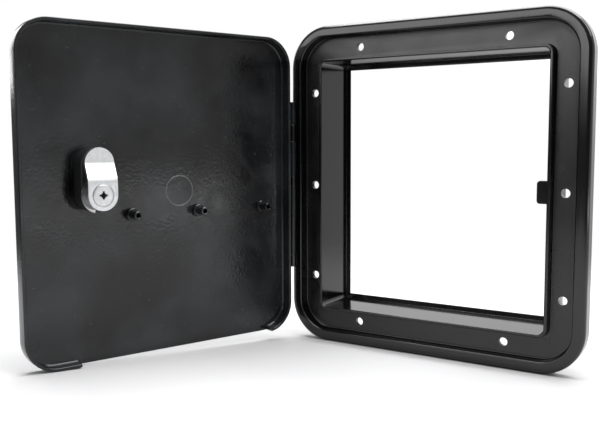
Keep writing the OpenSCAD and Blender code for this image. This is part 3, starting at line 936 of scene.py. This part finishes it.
rivetPiece = solid(rivet, lockSize)
finish(rivetPiece, "domed_rivet", lockPlace, "door", stainless,
       ["cover_rivet"], edge=0.05)

# pieces that keep their own shape and only get a finish
carried = {
    "hinge_pin": stainless,
    "bezel_gasket": rubber,
    "lock_shell": metals["die_cast_zinc"],
    "lock_plug": brass,
    "stop_washer": zincPlate,
    "spring_washer": springSteel,
}
for name in frame["nodes"]:
    if name.startswith("wafer_"):
        carried[name] = springSteel if "spring" in name else brass
for name, material in carried.items():
    node = frame["nodes"][name]
    node.data.materials.clear()
    node.data.materials.append(material)


# stage

stageLook = {
    "table": ("#a9a9aa", "#adadae"),      # under this light it shows as white
    "tableHalf": 1.2,          # m
    "cloudMm": 125,
    "fade": (0.42, 0.8),       # the table gives way to the white room between these, in m
    "walls": 0.75,             # brightness of the room's right and back walls
    "sky": (0.12, 0.5),        # of the other walls, and straight up
    "panel": 1.5,              # of a panel high at the back, which lights the top of the rim
    # where each stands and what it points at, in m
    "lights": {
        "overhead": {"at": (0, 0.15, 1.25), "aim": (0, 0, 0), "size": (1.6, 1.2), "watts": 57},
        "rightAbove": {"at": (1.25, 0.1, 1.2), "aim": (0, 0, 0), "size": (0.9, 0.9), "watts": 12},
        "left": {"at": (-1.5, 0.1, 0.45), "aim": (0, 0, 0), "size": (0.6, 0.6), "watts": 4},
        "frontLeft": {"at": (-0.65, -1.75, 0.5), "aim": (0, 0, 0), "size": (1.4, 0.6), "watts": 9},
        "rightLow": {"at": (1.4, 0.04, -0.13), "aim": (-0.14, 0.04, 0), "size": (1.2, 0.045),
                     "watts": 0.7},
    },
}
cameraPlace = {"at": (0.2085, -0.4836, 0.0340), "turn": (84.64, 0.23, 32.83), "lens": 46.2}


def whiteTable(look):
    # matt white board; far from the hatch it gives way to the white room behind it
    material, tree, shader, place = startMaterial("matt_white_board")
    links = {"Vector": place, "Scale": 1 / (look["cloudMm"] * mm), "Detail": 2}
    clouds = addNode(tree, "TexNoise", links).outputs[0]
    links = {0: clouds, 6: hexColour(look["table"][0]), 7: hexColour(look["table"][1])}
    colour = addNode(tree, "Mix", links, data_type="RGBA").outputs[2]
    tree.links.new(colour, shader.inputs["Base Color"])
    shader.inputs["Roughness"].default_value = 0.7
    away = addNode(tree, "VectorMath", {0: place}, operation="LENGTH").outputs["Value"]
    links = {0: away, 1: look["fade"][0], 2: look["fade"][1]}
    fade = addNode(tree, "MapRange", links, interpolation_type="SMOOTHSTEP").outputs[0]
    clear = addNode(tree, "BsdfTransparent").outputs[0]
    mixed = addNode(tree, "MixShader", {0: fade, 1: shader.outputs[0], 2: clear}).outputs[0]
    tree.links.new(mixed, tree.nodes["Material Output"].inputs["Surface"])
    return material


print("stage")
doorLow = doorPlace @ Vector((corner.x, -corner.y - doorSize["radius"], doorSize["wallEnd"]))
bm = bmesh.new()
bmesh.ops.create_grid(bm, x_segments=1, y_segments=1, size=stageLook["tableHalf"])
lean = math.atan2(doorLow.z - frameLow.z, -doorLow.y)   # the hatch leans on its door's corner
bmesh.ops.rotate(bm, cent=(0, 0, 0), matrix=Matrix.Rotation(-lean, 3, "X"), verts=bm.verts)
bmesh.ops.translate(bm, vec=(0, 0, frameLow.z - 0.0002), verts=bm.verts)
tableMesh = bpy.data.meshes.new("table")
bm.to_mesh(tableMesh)
bm.free()
table = bpy.data.objects.new("table", tableMesh)
table.data.materials.append(whiteTable(stageLook))
bpy.context.scene.collection.objects.link(table)

for name, light in stageLook["lights"].items():
    lamp = bpy.data.lights.new(name, "AREA")
    lamp.shape = "RECTANGLE"
    lamp.size, lamp.size_y = light["size"]
    lamp.energy = light["watts"]
    holder = bpy.data.objects.new(name, lamp)
    holder.location = light["at"]
    aim = Vector(light["aim"]) - holder.location
    holder.rotation_euler = aim.to_track_quat("-Z", "Y").to_euler()
    bpy.context.scene.collection.objects.link(holder)

world = bpy.data.worlds.new("white_room")
world.use_nodes = True
tree = world.node_tree
way = addNode(tree, "TexCoord").outputs["Generated"]
links = {0: way, 1: (0.6, 0.8, 0)}
wall = addNode(tree, "VectorMath", links, operation="DOT_PRODUCT").outputs["Value"]
links = {0: wall, 1: 0.1, 2: 0.6, 4: stageLook["walls"]}
wall = addNode(tree, "MapRange", links).outputs[0]
above = addNode(tree, "SeparateXYZ", {0: way}).outputs["Z"]
low, high = stageLook["sky"]
above = addNode(tree, "MapRange", {0: above, 1: 0.1, 2: 0.9, 3: low, 4: high}).outputs[0]
links = {0: way, 1: (0, 0.8, 0.6)}
panel = addNode(tree, "VectorMath", links, operation="DOT_PRODUCT").outputs["Value"]
links = {0: panel, 1: 0.7, 2: 0.85, 4: stageLook["panel"]}
panel = addNode(tree, "MapRange", links).outputs[0]
glow = addNode(tree, "Math", {0: wall, 1: above}, operation="MAXIMUM").outputs[0]
glow = addNode(tree, "Math", {0: glow, 1: panel}, operation="MAXIMUM").outputs[0]
seen = addNode(tree, "LightPath").outputs["Is Camera Ray"]
glow = addNode(tree, "Math", {0: glow, 1: seen}, operation="MAXIMUM").outputs[0]
background = tree.nodes["Background"]
background.inputs["Color"].default_value = (1, 1, 1, 1)
tree.links.new(glow, background.inputs["Strength"])
bpy.context.scene.world = world
bpy.context.scene.view_settings.view_transform = "Standard"

cameraData = bpy.data.cameras.new("camera")
cameraData.lens = cameraPlace["lens"]
camera = bpy.data.objects.new("camera", cameraData)
camera.location = cameraPlace["at"]
camera.rotation_euler = [math.radians(angle) for angle in cameraPlace["turn"]]
bpy.context.scene.collection.objects.link(camera)
bpy.context.scene.camera = camera
